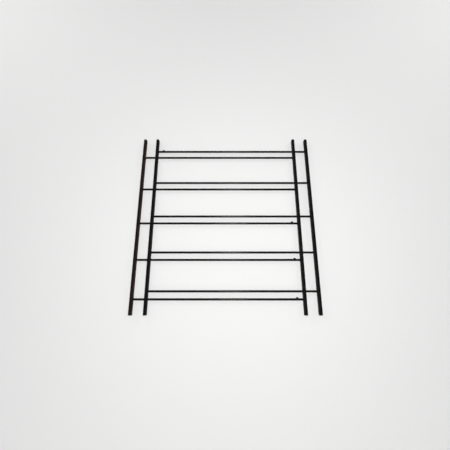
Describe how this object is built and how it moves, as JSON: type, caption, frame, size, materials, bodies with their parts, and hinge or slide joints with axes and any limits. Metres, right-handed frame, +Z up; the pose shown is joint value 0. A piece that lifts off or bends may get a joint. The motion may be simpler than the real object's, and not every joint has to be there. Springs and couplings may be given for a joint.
{
  "type": "adjustable window grille",
  "caption": "Black steel window grille: ladder frames of tube uprights and paired round bars, threaded through each other so that the width slides to fit the opening.",
  "frame": {"origin": "centre of the grille's box at the width it is set to, on the axes of the bars", "axes": "+X across the window to the right, +Y from the room side to the wall side, +Z up along the uprights"},
  "size_m": [0.7972, 0.019, 0.821],
  "materials": {
    "upright_paint": "semi-gloss black enamel on steel tube",
    "bar_paint": "semi-gloss black enamel on drawn round bar, rubbed where it slides",
    "weld_paint": "black enamel over rippled weld metal",
    "plug_plastic": "moulded matte black plastic"
  },
  "bodies": {
    "left_frame": {"left_outer_upright": "upright_paint", "right_inner_upright": "upright_paint", "left_outer_top_plug": "plug_plastic", "left_outer_bottom_plug": "plug_plastic", "right_inner_top_plug": "plug_plastic", "right_inner_bottom_plug": "plug_plastic", "left_frame_bar_1": "bar_paint", "left_frame_bar_2": "bar_paint", "left_frame_bar_3": "bar_paint", "left_frame_bar_4": "bar_paint", "left_frame_bar_5": "bar_paint", "left_frame_stops": "weld_paint"},
    "right_frame": {"left_inner_upright": "upright_paint", "right_outer_upright": "upright_paint", "left_inner_top_plug": "plug_plastic", "left_inner_bottom_plug": "plug_plastic", "right_outer_top_plug": "plug_plastic", "right_outer_bottom_plug": "plug_plastic", "right_frame_bar_1": "bar_paint", "right_frame_bar_2": "bar_paint", "right_frame_bar_3": "bar_paint", "right_frame_bar_4": "bar_paint", "right_frame_bar_5": "bar_paint", "right_frame_stops": "weld_paint"}
  },
  "joints": [
    {"name": "width_slide", "type": "slide", "parent": "left_frame", "child": "right_frame", "axis": [1, 0, 0], "range_m": [-0.045, 0.62]}
  ]
}
